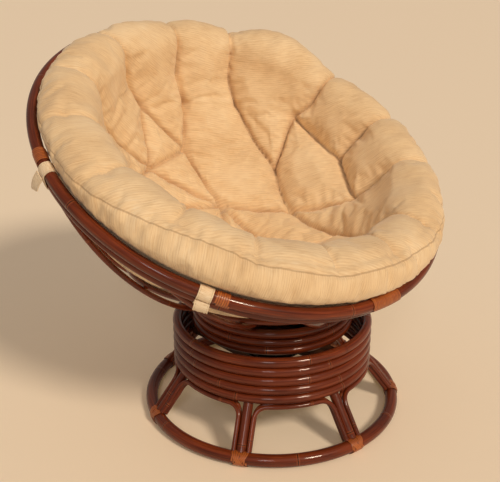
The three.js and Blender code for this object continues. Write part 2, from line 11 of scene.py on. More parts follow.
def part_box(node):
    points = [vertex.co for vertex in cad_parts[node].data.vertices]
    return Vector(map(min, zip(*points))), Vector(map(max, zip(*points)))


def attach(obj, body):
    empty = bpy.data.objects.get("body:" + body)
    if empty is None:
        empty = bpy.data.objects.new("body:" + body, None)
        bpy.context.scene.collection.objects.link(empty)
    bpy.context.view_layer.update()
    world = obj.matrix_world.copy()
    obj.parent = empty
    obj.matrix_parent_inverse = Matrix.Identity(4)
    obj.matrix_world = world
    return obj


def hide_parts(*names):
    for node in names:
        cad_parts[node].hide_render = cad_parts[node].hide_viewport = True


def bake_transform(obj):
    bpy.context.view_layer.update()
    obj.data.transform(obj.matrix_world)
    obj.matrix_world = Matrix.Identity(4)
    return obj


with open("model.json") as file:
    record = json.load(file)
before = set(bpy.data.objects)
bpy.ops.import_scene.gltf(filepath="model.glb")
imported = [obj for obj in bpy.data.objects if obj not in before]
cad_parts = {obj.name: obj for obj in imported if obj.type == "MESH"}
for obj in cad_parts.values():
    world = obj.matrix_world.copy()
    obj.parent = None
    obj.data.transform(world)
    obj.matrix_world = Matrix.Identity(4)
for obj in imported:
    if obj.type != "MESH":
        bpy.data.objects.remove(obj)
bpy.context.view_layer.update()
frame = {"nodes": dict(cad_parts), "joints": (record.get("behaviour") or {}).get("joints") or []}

joints = {joint["name"]: joint for joint in frame["joints"]}
swivelAxis = Vector(joints["swivel"]["pos_m"])
bowlCentre = Vector(joints["bowl_tilt"]["pos_m"])
onAxis = Matrix.Translation((0, swivelAxis.y, 0))
skin = 0.0001  # how much thinner a pole is drawn, so that poles that lie together don't flicker


# Picking and placing

def pick(*chosen):
    if bpy.context.object and bpy.context.object.mode != "OBJECT":
        bpy.ops.object.mode_set(mode="OBJECT")
    bpy.ops.object.select_all(action="DESELECT")
    for obj in chosen:
        obj.select_set(True)
    bpy.context.view_layer.objects.active = chosen[-1]
    return chosen[-1]


def place(obj, matrix):  # bakes a place into the mesh
    obj.data.transform(obj.matrix_world)
    obj.matrix_world = Matrix.Identity(4)
    obj.data.transform(matrix)
    return obj


def made(add, name, **size):
    add(**size)
    obj = bpy.context.object
    obj.name = name
    return obj


def copyOf(obj, name, matrix):
    twin = obj.copy()
    twin.data = obj.data.copy()
    twin.name = name
    bpy.context.collection.objects.link(twin)
    return place(twin, matrix)


def join(name, parts):
    whole = pick(*parts)
    if len(parts) > 1:
        bpy.ops.object.join()
    whole = bpy.context.object
    whole.name = name
    return whole


def modify(obj, kind, **settings):
    pick(obj)
    modifier = obj.modifiers.new(kind.title(), kind)
    for key, value in settings.items():
        setattr(modifier, key, value)
    bpy.ops.object.modifier_apply(modifier=modifier.name)
    return obj


def smooth(obj, angle=40):
    pick(obj)
    bpy.ops.object.shade_smooth_by_angle(angle=radians(angle))
    return obj


def coat(obj, look):
    obj.data.materials.clear()
    obj.data.materials.append(look)


def finish(obj, body, slot, look, *nodes):
    coat(obj, look)
    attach(obj, body)
    if nodes:
        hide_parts(*nodes)
    return obj


def outward(angle):  # angles run from the front, growing toward +X
    return Vector((sin(angle), -cos(angle), 0))


def sideways(angle):
    return Vector((cos(angle), sin(angle), 0))


def levelSide(spot):
    return Vector((spot.x, spot.y, 0)).normalized()


def ringSpot(angle, radius, rise):
    return outward(angle) * radius + Vector((0, 0, rise))


def standing(rise, turn):
    return onAxis @ Matrix.Translation((0, 0, rise)) @ Matrix.Rotation(turn, 4, "Z")


def cornerPlaces(apart, rise):
    corners = ((-1, -1), (1, -1), (-1, 1), (1, 1))
    return [Matrix.Translation((x * apart, swivelAxis.y + y * apart, rise)) for x, y in corners]


def spotsOf(mesh):
    spots = np.empty(len(mesh.vertices) * 3)
    mesh.vertices.foreach_get("co", spots)
    return spots.reshape(-1, 3)


def store(mesh, name, values):  # an attribute that the finishes read
    kind, key = ("FLOAT_VECTOR", "vector") if np.ndim(values) == 2 else ("FLOAT", "value")
    attribute = mesh.attributes.new(name, kind, "POINT")
    attribute.data.foreach_set(key, np.array(values, np.float32).ravel())


def runAlong(spots):  # how far along the path each of its spots lies
    return np.concatenate([[0], np.cumsum(norm(np.diff(spots, axis=0), axis=1))])


# Shader maths: a wire is a socket that takes part in sums

class Wire:
    def __init__(self, look, socket):
        self.look = look
        self.socket = socket

    def sum(self, operation, *others):
        values = dict(enumerate((self, *others)))
        return self.look.node("ShaderNodeMath", {"operation": operation}, values)

    def __add__(self, other):
        return self.sum("ADD", other)

    __radd__ = __add__

    def __sub__(self, other):
        return self.sum("SUBTRACT", other)

    def __rsub__(self, other):
        return (self * -1) + other

    def __mul__(self, other):
        return self.sum("MULTIPLY", other)

    __rmul__ = __mul__

    def __gt__(self, other):
        return self.sum("GREATER_THAN", other)


class Look:
    def __init__(self, name, **fixed):
        self.material = bpy.data.materials.new(name)
        self.material.use_nodes = True
        self.tree = self.material.node_tree
        self.shader = self.tree.nodes["Principled BSDF"]
        for key, value in fixed.items():
            self.shader.inputs[key.replace("_", " ")].default_value = value

    def node(self, kind, settings=None, values=None, output=0):
        made = self.tree.nodes.new(kind)
        for key, value in (settings or {}).items():
            if key == "stops":
                self.fillRamp(made.color_ramp, value)
            else:
                setattr(made, key, value)
        for key, value in (values or {}).items():
            if isinstance(value, Wire):
                self.tree.links.new(value.socket, made.inputs[key])
            else:
                made.inputs[key].default_value = value
        return Wire(self, made.outputs[output])

    def fillRamp(self, ramp, stops):
        while len(ramp.elements) < len(stops):
            ramp.elements.new(0.5)
        for element, (position, colour) in zip(ramp.elements, stops):
            element.position = position
            element.color = (*colour, 1)

    def place(self, name=None):  # object coordinates, or an attribute of the piece
        if name is None:
            return self.node("ShaderNodeTexCoord", output="Object")
        return self.node("ShaderNodeAttribute", {"attribute_name": name}, output="Vector")

    def number(self, name):
        return self.node("ShaderNodeAttribute", {"attribute_name": name}, output="Fac")

    def axis(self, vector, letter):
        return self.node("ShaderNodeSeparateXYZ", values={0: vector}, output=letter)

    def noise(self, vector, scale, detail=4, rough=0.55, twist=0):
        values = {"Vector": vector, "Scale": scale, "Detail": detail, "Roughness": rough, "Distortion": twist}
        return self.node("ShaderNodeTexNoise", {}, values)

    def drawnOut(self, vector, scales, *settings):  # noise with its own scale along each axis
        stretched = self.node("ShaderNodeVectorMath", {"operation": "MULTIPLY"}, {0: vector, 1: scales})
        return self.noise(stretched, 1, *settings)

    def ramp(self, factor, *stops):
        return self.node("ShaderNodeValToRGB", {"stops": stops}, {"Fac": factor})

    def fade(self, value, low, high, start=0.0, end=1.0):
        values = {"Value": value, "From Min": low, "From Max": high, "To Min": start, "To Max": end}
        return self.node("ShaderNodeMapRange", {"interpolation_type": "SMOOTHSTEP"}, values)

    def mix(self, factor, first, second, blend="MIX"):
        colours = [(*c, 1) if isinstance(c, tuple) and len(c) == 3 else c for c in (first, second)]
        settings = {"data_type": "RGBA", "blend_type": blend}
        return self.node("ShaderNodeMix", settings, {0: factor, 6: colours[0], 7: colours[1]}, 2)

    def bump(self, height, distance, strength=1.0, under=None):
        values = {"Height": height, "Distance": distance, "Strength": strength}
        if under:
            values["Normal"] = under
        return self.node("ShaderNodeBump", {}, values)

    def drive(self, **wires):
        for key, wire in wires.items():
            self.tree.links.new(wire.socket, self.shader.inputs[key.replace("_", " ")])
        return self.material


def srgb(red, green, blue):
    def straight(value):
        value /= 255
        return value / 12.92 if value <= 0.04045 else ((value + 0.055) / 1.055) ** 2.4
    return tuple(straight(value) for value in (red, green, blue))


# Finishes

def varnishedRattan():
    look = Look("varnishedRattan", Coat_Weight=0.55, Coat_Roughness=0.07, Specular_IOR_Level=0.12)
    grain = look.place("grain")
    streaks = look.drawnOut(grain, (9, 420, 420), 5, 0.6)
    patches = look.drawnOut(grain, (7, 30, 30), 3)
    fibres = look.drawnOut(grain, (30, 1500, 1500), 3)
    knot = look.number("knot")
    wood = look.ramp(streaks * 0.6 + patches * 0.4, (0.30, srgb(54, 21, 10)), (0.47, srgb(94, 37, 17)),
                     (0.60, srgb(124, 53, 22)), (0.74, srgb(156, 75, 35)))
    darker = look.mix(look.fade(knot, 0.0007, 0.0016, 0.75, 0.0), wood, srgb(34, 11, 7))
    worn = look.fade(knot, 0.0016, 0.0055, 1.0, 0.0) * look.fade(knot, 0.0007, 0.0016) * 0.4
    colour = look.mix(worn, darker, srgb(168, 92, 52))
    ridge = look.fade(knot, 0.0009, 0.006, 1.0, 0.0) - look.fade(knot, 0.0, 0.0011, 1.6, 0.0)
    relief = look.bump(ridge, 0.0009)
    relief = look.bump(fibres, 0.00035, 0.5, relief)
    shine = look.fade(patches, 0.3, 0.7, 0.26, 0.40)
    return look.drive(Base_Color=colour, Roughness=shine, Normal=relief)


def caneSkin():
    look = Look("caneSkin", Coat_Weight=0.3, Coat_Roughness=0.2)
    grain = look.place("grain")
    lines = look.drawnOut(grain, (12, 900, 900), 4)
    patches = look.drawnOut(grain, (30, 60, 60), 3)
    across = look.axis(grain, "Y")
    colour = look.ramp(lines * 0.6 + patches * 0.4, (0.3, srgb(116, 52, 18)), (0.5, srgb(172, 90, 36)),
                       (0.7, srgb(206, 126, 58)))
    colour = look.mix(look.fade(across.sum("ABSOLUTE"), 0.0014, 0.0021, 0.0, 0.8), colour, srgb(58, 22, 8))
    relief = look.bump(lines, 0.0004, 0.7)
    return look.drive(Base_Color=colour, Roughness=look.fade(patches, 0.3, 0.7, 0.34, 0.5), Normal=relief)


def cushionCloth():
    look = Look("cushionCloth", Sheen_Weight=0.25, Sheen_Roughness=0.5, Specular_IOR_Level=0.2)
    flat = look.node("ShaderNodeUVMap", {"uv_map": "flat"})
    waver = look.drawnOut(flat, (5, 30, 1), 2)
    apart = look.axis(flat, "Y")
    alongRib = look.axis(flat, "X")
    faint = look.drawnOut(flat, (26, 90, 1), 2)
    ribs = ((((apart + waver * 0.005) * 980).sum("SINE")) * 0.5 + 0.5) * look.fade(faint, 0.35, 0.62, 0.25, 1.0)
    threads = (alongRib * 5200).sum("SINE") * 0.5 + 0.5
    slubs = look.drawnOut(flat, (24, 520, 1), 3, 0.6)
    clouds = look.noise(look.place(), 9, 4)
    seam = look.number("seam")
    tone = look.ramp(clouds * 0.45 + slubs * 0.55, (0.30, srgb(214, 180, 138)), (0.46, srgb(238, 208, 164)),
                     (0.58, srgb(247, 221, 180)), (0.74, srgb(253, 235, 203)))
    shaded = look.mix(ribs * 0.17, tone, srgb(176, 136, 96), "MULTIPLY")
    # painted shade: the cloth is darkened towards srgb(172, 118, 74) along the creases, where shade falls in
    # the folds
    paintedCreaseShade = look.fade(look.number("crease"), 0.001, 0.012, 0.38, 0.0)
    shaded = look.mix(paintedCreaseShade, shaded, srgb(172, 118, 74), "MULTIPLY")
    stitched = look.mix(look.fade(seam, 0.0007, 0.0024, 0.42, 0.0), shaded, srgb(140, 104, 72))
    height = ribs * 0.4 + slubs * 1.1 + threads * 0.1
    relief = look.bump(height, 0.0014, 0.5)
    return look.drive(Base_Color=stitched, Roughness=look.fade(slubs, 0.3, 0.7, 0.98, 0.86), Normal=relief)


def tieCloth():
    look = Look("tieCloth", Sheen_Weight=0.25, Sheen_Roughness=0.5, Specular_IOR_Level=0.2)
    grain = look.place("grain")
    apart = look.axis(grain, "X")
    across = look.axis(grain, "Y")
    ribs = (apart * 2600).sum("SINE") * 0.5 + 0.5
    slubs = look.drawnOut(grain, (700, 60, 1), 4)
    edge = across.sum("ABSOLUTE")
    stitch = look.fade((edge - 0.0125).sum("ABSOLUTE"), 0.0003, 0.0009, 1.0, 0.0)
    stitch = stitch * (((apart * 2100).sum("SINE")) > -0.3)
    tone = look.ramp(slubs, (0.3, srgb(222, 193, 152)), (0.5, srgb(240, 218, 184)), (0.7, srgb(248, 232, 205)))
    colour = look.mix(stitch * 0.5, tone, srgb(176, 146, 112))
    relief = look.bump(ribs * 0.4 + slubs - stitch * 0.8, 0.001, 0.7)
    return look.drive(Base_Color=colour, Roughness=look.fade(slubs, 0.3, 0.7, 0.96, 0.85), Normal=relief)


def stainedBoard():
    look = Look("stainedBoard", Specular_IOR_Level=0.3)
    spot = look.place()
    grain = look.drawnOut(spot, (60, 3, 60), 6, 0.6, 0.6)
    pores = look.drawnOut(spot, (900, 26, 900), 2)
    colour = look.ramp(grain, (0.32, srgb(44, 25, 16)), (0.5, srgb(78, 46, 29)), (0.66, srgb(104, 66, 42)))
    pitted = look.mix(look.fade(pores, 0.58, 0.7) * 0.5, colour, srgb(24, 14, 10))
    relief = look.bump(grain * 0.4 - look.fade(pores, 0.55, 0.7), 0.0006, 0.6)
    return look.drive(Base_Color=pitted, Roughness=look.fade(grain, 0.3, 0.7, 0.5, 0.7), Normal=relief)


def blackPaint():
    look = Look("blackPaint", Metallic=0.0, Coat_Weight=0.2, Coat_Roughness=0.3)
    spot = look.place()
    blotch = look.noise(spot, 35, 4)
    grit = look.noise(spot, 900, 3)
    dust = look.fade(blotch, 0.5, 0.75)
    colour = look.mix(dust * 0.35, srgb(30, 29, 30), srgb(74, 68, 62))
    relief = look.bump(grit, 0.0003, 0.5)
    return look.drive(Base_Color=colour, Roughness=look.fade(blotch, 0.3, 0.7, 0.38, 0.6), Normal=relief)


def zincPlate():
    look = Look("zincPlate", Metallic=1.0)
    spot = look.place()
    spangle = look.noise(spot, 160, 3)
    haze = look.noise(spot, 28, 4)
    colour = look.ramp(spangle * 0.5 + haze * 0.5, (0.3, srgb(120, 118, 112)), (0.5, srgb(158, 158, 156)),
                       (0.7, srgb(186, 186, 184)))
    relief = look.bump(spangle, 0.00015, 0.4)
    return look.drive(Base_Color=colour, Roughness=look.fade(haze, 0.3, 0.7, 0.28, 0.46), Normal=relief)


rattan = varnishedRattan()
cane = caneSkin()
cloth = cushionCloth()
tape = tieCloth()
boardWood = stainedBoard()
blackSteel = blackPaint()
zinc = zincPlate()
print("finishes made")


# Poles: a path gives the grain that runs along them and the knots that ring them

def pathFrames(points, side):
    spots = np.array(points, float)
    ahead = np.roll(spots, -1, 0) - np.roll(spots, 1, 0)
    if norm(spots[0] - spots[-1]) > 3 * norm(spots[1] - spots[0]):
        ahead[0] = spots[1] - spots[0]
        ahead[-1] = spots[-1] - spots[-2]
    tangents = ahead / norm(ahead, axis=1)[:, None]
    normals = np.array([side(Vector(spot)) for spot in spots])
    normals -= tangents * (normals * tangents).sum(1)[:, None]
    normals /= norm(normals, axis=1)[:, None]
    return spots, tangents, normals, np.cross(tangents, normals)


def layGrain(obj, points, side, knotEvery, shift):
    spots, tangents, normals, binormals = pathFrames(points, side)
    run = runAlong(spots)
    corners = spotsOf(obj.data)
    parts = np.array_split(corners, 8 + len(corners) // 2000)
    nearest = np.concatenate([((part[:, None, :] - spots[None]) ** 2).sum(2).argmin(1) for part in parts])
    away = corners - spots[nearest]
    along = run[nearest] + (away * tangents[nearest]).sum(1)
    grain = np.stack([along + shift, (away * normals[nearest]).sum(1), (away * binormals[nearest]).sum(1)], 1)
    store(obj.data, "grain", grain)
    step = run[1]
    knots = [round(place / step) * step for place in knotPlaces(run[-1], knotEvery, shift)]
    gap = np.full(len(corners), 1.0)
    for knot in knots:
        gap = np.minimum(gap, np.abs(along - knot))
    store(obj.data, "knot", gap)
    return obj


def knotPlaces(length, every, shift):  # uneven, as rattan grows
    places = []
    spot = every * (0.25 + (shift * 7.3) % 0.6)
    while spot < length - 0.02:
        places.append(spot)
        spot += every * (0.8 + 0.45 * ((len(places) * 0.618 + shift * 3.1) % 1))
    return places


def ringPole(name, radius, pole, shift, segments=144, sides=16, knotEvery=0.3):
    obj = made(
        bpy.ops.mesh.primitive_torus_add, name,
        major_radius=radius, minor_radius=pole, major_segments=segments, minor_segments=sides)
    turns = [2 * pi * i / segments for i in range(segments)]
    points = [(radius * cos(turn), radius * sin(turn), 0) for turn in turns]
    layGrain(obj, points, lambda spot: spot.normalized(), knotEvery, shift)
    return smooth(obj, 180)


def bentPole(name, points, pole, side, shift, sides=14, knotEvery=0.3):
    obj = made(bpy.ops.curve.primitive_bezier_curve_add, name, location=(0, 0, 0))
    obj.data.splines.clear()
    spline = obj.data.splines.new("POLY")
    spline.points.add(len(points) - 1)
    for point, spot in zip(spline.points, points):
        point.co = (*spot, 1)
    obj.data.bevel_depth = pole
    obj.data.bevel_resolution = (sides - 4) // 2
    obj.data.use_fill_caps = True
    pick(obj)
    bpy.ops.object.convert(target="MESH")
    obj = bpy.context.object
    pick(obj)
    bpy.ops.object.mode_set(mode="EDIT")
    bpy.ops.mesh.select_all(action="SELECT")
    bpy.ops.mesh.remove_doubles(threshold=1e-5)
    bpy.ops.mesh.normals_make_consistent(inside=False)
    bpy.ops.object.mode_set(mode="OBJECT")
    layGrain(obj, points, side, knotEvery, shift)
    return smooth(obj, 50)


# Cane strips: a long thin grid wound onto a pole

loopSteps = 28
crossSteps = 64


def strip(name, steps, width, thick, spotAt):
    obj = made(bpy.ops.mesh.primitive_grid_add, name, x_subdivisions=steps, y_subdivisions=3, size=1)
    grain = []
    for vertex in obj.data.vertices:
        share = vertex.co.x + 0.5
        across = vertex.co.y * width
        crown = (1 - (2 * vertex.co.y) ** 2) * 0.0003
        centre, outside, edge, run = spotAt(share)
        vertex.co = centre + edge * across + outside * crown
        grain.append((run, across, 0))
    store(obj.data, "grain", grain)
    modify(obj, "SOLIDIFY", thickness=thick, offset=0)
    return smooth(obj, 60)


def windingRound(host, loops, pitch, lift, angle):  # host: the ring's radius and its pole's
    half = loops * pitch / 2

    def spotAt(share):
        turn = 2 * pi * loops * share
        run = loops * pitch * share - half
        place = angle + run / host["radius"]
        reach = host["pole"] + lift
        outside = outward(place) * cos(turn) + Vector((0, 0, sin(turn)))
        centre = outward(place) * host["radius"] + outside * reach
        return centre, outside, sideways(place), turn * reach
    return spotAt


def crossedLashing(host, halfWidth, lift, lean, shift, over):
    def spotAt(share):
        turn = 2 * pi * share
        bulge = over * sum(math.exp(-((turn - top) / 0.5) ** 2) for top in (pi / 2, 1.5 * pi))
        reach = host["pole"] + lift + bulge
        run = halfWidth * cos(turn) + shift
        place = run / host["radius"]
        outside = outward(place) * sin(turn) + Vector((0, 0, lean * cos(turn)))
        centre = outward(place) * host["radius"] + outside * reach
        step = sideways(place) * (-halfWidth * sin(turn))
        step += (outward(place) * cos(turn) - Vector((0, 0, lean * sin(turn)))) * reach
        return centre, outside, step.cross(outside).normalized(), turn * reach * 1.6
    return spotAt


# Base: floor ring, legs, arches and the drum of stacked rings

base = {
    "floorRing": {"radius": 0.3195, "pole": 0.0155, "rise": 0.01755, "seat": 0.01775},
    "drum": {
        "radius": 0.245, "pole": 0.01215, "rise": 0.13655, "pitch": 0.0246, "rings": 5,
        "grain": (0.31, 0.57), "turn": (1.4, 2.4), "segments": (144, 18)},
    "legs": {"count": 7, "turn": radians(-6.6), "pole": 0.012, "topDrop": 0.004},
    "arches": {"rise": 0.1181, "pole": 0.006, "apart": 0.0057, "beside": 0.0183, "bend": 0.034},
    "binding": {
        "loops": 7, "pitch": 0.0047, "strip": 0.0042, "thick": 0.0008, "lift": 0.0007,
        "crossWidth": 0.0135, "crossLift": 0.00155, "crossOver": 0.0009},
}
legAngles = [
    base["legs"]["turn"] + 2 * pi * i / base["legs"]["count"] for i in range(base["legs"]["count"])]


def spotBesideLeg(angle, rise, aside):
    ring, drum = base["floorRing"], base["drum"]
    slope = (ring["radius"] - drum["radius"]) / (base["arches"]["rise"] - ring["rise"])
    reach = drum["radius"] + (base["arches"]["rise"] - rise) * slope
    return outward(angle) * reach + sideways(angle) * aside + Vector((0, 0, rise))


def cope(obj, radius, pole, rise):  # cuts a round seat for a ring
    cutter = made(
        bpy.ops.mesh.primitive_torus_add, "cutter", location=(0, 0, rise),
        major_radius=radius, minor_radius=pole, major_segments=160, minor_segments=32)
    modify(obj, "BOOLEAN", object=cutter, operation="DIFFERENCE", solver="EXACT")
    bpy.data.objects.remove(cutter)
    return obj


def makeFloorRing():
    size = base["floorRing"]
    ring = ringPole("floorRing", size["radius"], size["pole"], 0.0, 168, 20)
    place(ring, standing(size["rise"], 0.9))
    finish(ring, "base", "rattan_pole", rattan, "floor_ring")


def makeLegs():
    size, ring, drum = base["legs"], base["floorRing"], base["drum"]
    foot = spotBesideLeg(0, ring["rise"], 0)
    top = spotBesideLeg(0, drum["rise"] - size["topDrop"], 0)
    path = [foot.lerp(top, i / 24) for i in range(25)]
    for i, angle in enumerate(legAngles):
        leg = bentPole(f"leg{i + 1}", path, size["pole"], lambda spot: Vector((0, -1, 0)), 0.37 * i, 24, 0.12)
        cope(leg, ring["radius"], ring["seat"], ring["rise"])
        cope(leg, drum["radius"], drum["pole"] + skin, drum["rise"])
        place(leg, standing(0, angle))
        finish(leg, "base", "rattan_pole", rattan, f"leg_{i + 1}")


def archPath(aside):  # one thin pole from foot to foot, aside along the radius
    size = base["arches"]
    span = 2 * pi / base["legs"]["count"]
    radius = base["drum"]["radius"] + aside
    push = outward(0) * aside
    foot = spotBesideLeg(0, base["floorRing"]["rise"], size["beside"]) + push
    corner = spotBesideLeg(0, size["rise"], size["beside"]) + push
    bendStart = corner + (foot - corner).normalized() * size["bend"]
    swing = (size["beside"] + size["bend"]) / base["drum"]["radius"]
    bendEnd = ringSpot(swing, radius, size["rise"])
    footSteps, bendSteps, topSteps = 8, 12, 14
    half = [foot.lerp(bendStart, i / footSteps) for i in range(footSteps)]
    for i in range(bendSteps):
        share = i / bendSteps
        half.append(bendStart.lerp(corner, share).lerp(corner.lerp(bendEnd, share), share))
    for i in range(topSteps // 2):
        angle = swing + (span - 2 * swing) * i / topSteps
        half.append(ringSpot(angle, radius, size["rise"]))
    middle = ringSpot(span / 2, radius, size["rise"])
    flip = Matrix.Rotation(span, 4, "Z") @ Matrix.Scale(-1, 4, (1, 0, 0))
    return [*half, middle, *[flip @ spot for spot in reversed(half)]]


def makeArches():
    size, ring = base["arches"], base["floorRing"]
    poles = []
    for i, aside in enumerate((size["apart"], -size["apart"])):
        pole = bentPole(f"archPole{i}", archPath(aside), size["pole"] - 2 * skin, levelSide, 0.21 * i, 12, 0.19)
        cope(pole, ring["radius"], ring["seat"], ring["rise"])
        poles.append(pole)
    pair = smooth(join("archPair", poles), 50)
    for i, angle in enumerate(legAngles):
        arch = copyOf(pair, f"arch{i + 1}", standing(0, angle))
        shiftGrain(arch, 0.43 * i)
        finish(arch, "base", "rattan_pole", rattan, f"arch_{i + 1}")
    bpy.data.objects.remove(pair)


def shiftGrain(obj, run):
    attribute = obj.data.attributes["grain"]
    values = np.zeros(len(attribute.data) * 3, np.float32)
    attribute.data.foreach_get("vector", values)
    values[0::3] += run
    attribute.data.foreach_set("vector", values)


def stackRings(name, size, body):  # grain and turn: the lowest ring's, and the step to the next
    (grain, grainStep), (turn, turnStep) = size["grain"], size["turn"]
    for i in range(size["rings"]):
        shift = grain + grainStep * i
        ring = ringPole(f"{name}Ring{i + 1}", size["radius"], size["pole"] - skin, shift, *size["segments"])
        place(ring, standing(size["rise"] + size["pitch"] * i, turn + turnStep * i))
        finish(ring, body, "rattan_pole", rattan, f"{name}_ring_{i + 1}")


def makeFootBindings():
    size = base["binding"]
    host = base["floorRing"]
    parts = []
    winding = windingRound(host, size["loops"], size["pitch"], size["lift"], 0)
    parts.append(strip("footWinding", size["loops"] * loopSteps, size["strip"], size["thick"], winding))
    for lean, over in ((1, 0.0), (-1, size["crossOver"])):
        for shift in (-size["pitch"], 0, size["pitch"]):
            lashing = crossedLashing(host, size["crossWidth"], size["crossLift"], lean, shift, over)
            parts.append(strip("footLashing", crossSteps, size["strip"], size["thick"], lashing))
    bound = join("footBinding", parts)
    for i, angle in enumerate(legAngles):
        binding = copyOf(bound, f"footBinding{i + 1}", standing(host["rise"], angle))
        finish(binding, "base", "cane_strip", cane, f"foot_binding_{i + 1}")
    bpy.data.objects.remove(bound)


makeFloorRing()
makeLegs()
makeArches()
stackRings("drum", base["drum"], "base")
makeFootBindings()
print("base made")


# Swivel and rocker

works = {
    "collar": {
        "radius": 0.196, "pole": 0.01085, "rise": 0.23945, "pitch": 0.022, "rings": 3,
        "grain": (0.17, 0.49), "turn": (2.1, 2.2), "segments": (132, 16)},
    "spring": {"radius": 0.015, "wire": 0.003, "curls": 3, "apart": 0.065, "foot": 0.1716, "top": 0.2250},
    "bolt": {"spread": 0.067, "head": 0.0075, "thick": 0.005, "washer": 0.0012},
}


def makeSprings():
    size = works["spring"]
    straight = 2 * size["wire"]
    curlSteps = 24
    steps = size["curls"] * curlSteps
    climb = size["top"] - size["foot"] - 2 * straight
    path = [ringSpot(0, size["radius"], size["foot"])]
    for i in range(steps + 1):
        rise = size["foot"] + straight + climb * i / steps
        path.append(ringSpot(2 * pi * i / curlSteps, size["radius"], rise))
    path.append(ringSpot(0, size["radius"], size["top"]))
    coil = bentPole("springCoil", path, size["wire"] - 2 * skin, levelSide, 0, 10)
    for i, spot in enumerate(cornerPlaces(size["apart"], 0)):
        spring = copyOf(coil, f"rockerSpring{i + 1}", spot)
        coat(spring, zinc)
        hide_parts(f"rocker_spring_{i + 1}")
        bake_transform(spring)
    bpy.data.objects.remove(coil)


def makeBolts():
    size = works["bolt"]
    cylinder = bpy.ops.mesh.primitive_cylinder_add
    head = made(cylinder, "head", vertices=6, radius=size["head"], depth=size["thick"])
    modify(head, "BEVEL", width=0.0008, segments=2)
    washer = made(cylinder, "washer", vertices=28, radius=size["head"] * 1.5, depth=size["washer"])
    modify(washer, "BEVEL", width=0.0004, segments=2)
    place(washer, Matrix.Translation((0, 0, size["thick"] / 2)))
    bolt = smooth(join("bolt", [washer, head]))
    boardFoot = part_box("base_board_left")[0][2]
    rise = boardFoot - size["thick"] / 2 - size["washer"] / 2
    parts = [copyOf(bolt, "boltUnder", spot) for spot in cornerPlaces(size["spread"], rise)]
    finish(join("baseBolts", parts), "base", "bare_steel", zinc)
    bpy.data.objects.remove(bolt)


def dressNodes():  # the plain boards and ironwork keep their shapes
    boards = "base_board_left base_board_right rocker_board_left rocker_board_right"
    plates = "swivel_lower_plate swivel_upper_plate rocker_plate"
    ears = "rocker_ear_left rocker_ear_right rocker_sleeve"
    turned = "ball_race king_pin pivot_rod"
    for look, names in ((boardWood, boards), (blackSteel, plates), (blackSteel, ears), (zinc, turned)):
        for name in names.split():
            coat(frame["nodes"][name], look)


stackRings("collar", works["collar"], "rocker")
makeSprings()
makeBolts()
dressNodes()
print("swivel and rocker made")


# Bowl: made about the centre of its sphere, then tilted and lifted

bowl = {
    "tilt": radians(28.9),
    "rim": {"sphere": 0.5575, "polar": radians(68.75), "pole": 0.0138},
    "second": {"sphere": 0.5603, "polar": radians(65.966), "pole": 0.011},
    "ribs": {"count": 11, "crossings": 5, "outer": 0.5643, "inner": 0.55134, "pole": 0.0066},
    "hub": {"radius": 0.060, "pole": 0.009},
    "cutEnd": {
        "angle": radians(-96.5), "gap": radians(0.6), "overlap": radians(5),
        "inward": 0.010, "down": 0.004},
    "winding": {"pitch": 0.0047, "lift": 0.0012, "strip": 0.0044, "thick": 0.001},
    "bindings": {
        "rim_binding_front": (19, -1.2), "rim_binding_side": (6, -45.0), "rim_binding_rear": (8, -103.0)},
}
bowlPlace = Matrix.Translation(bowlCentre) @ Matrix.Rotation(bowl["tilt"], 4, "X")


def onSphere(sphere, polar, angle):
    return ringSpot(angle, sphere * sin(polar), -sphere * cos(polar))


def fromCentre(spot):
    return spot.normalized()


def makeRim():
    size, end = bowl["rim"], bowl["cutEnd"]
    radius = size["sphere"] * sin(size["polar"])
    drop = -size["sphere"] * cos(size["polar"])
    steps = 180
    path = []
    for i in range(steps + 1):
        angle = end["angle"] + (2 * pi - end["gap"]) * i / steps
        left = end["angle"] + 2 * pi - angle
        tuck = max(0.0, 1 - left / end["overlap"])
        tuck = tuck * tuck * (3 - 2 * tuck)
        path.append(ringSpot(angle, radius - end["inward"] * tuck, drop - end["down"] * tuck))
    rim = bentPole("bowlRim", path, size["pole"], fromCentre, 0.0, 20, 0.34)
    place(rim, bowlPlace)
    finish(rim, "bowl", "rattan_pole", rattan, "bowl_rim")


def makeLattice():
    size = bowl["ribs"]
    second = bowl["second"]
    parts = []
    ring = ringPole("secondRing", second["sphere"] * sin(second["polar"]), second["pole"], 0.7, 160, 16)
    parts.append(place(ring, Matrix.Translation((0, 0, -second["sphere"] * cos(second["polar"])))))
    hubSphere = (size["outer"] + size["inner"]) / 2
    hubPolar = math.asin(bowl["hub"]["radius"] / size["outer"])
    hub = ringPole("hubRing", hubSphere * sin(hubPolar), bowl["hub"]["pole"], 0.2, 64, 14)
    parts.append(place(hub, Matrix.Translation((0, 0, -hubSphere * cos(hubPolar)))))
    spacing = 2 * pi / size["count"]
    twist = spacing * size["crossings"] / 2
    ribSteps = 40
    for i in range(size["count"]):
        for sphere, start, lean in ((size["outer"], 0.25, 1), (size["inner"], 0.75, -1)):
            low = math.asin(bowl["hub"]["radius"] / sphere)
            path = []
            for step in range(ribSteps + 1):
                down = step / ribSteps
                polar = second["polar"] + (low - second["polar"]) * down
                path.append(onSphere(sphere, polar, spacing * (i + start) + lean * twist * down))
            rib = bentPole("rib", path, size["pole"], fromCentre, 0.29 * i + start, 10, 0.24)
            parts.append(rib)
    lattice = join("bowlLattice", parts)
    place(lattice, bowlPlace)
    finish(lattice, "bowl", "rattan_pole", rattan, "bowl_lattice")


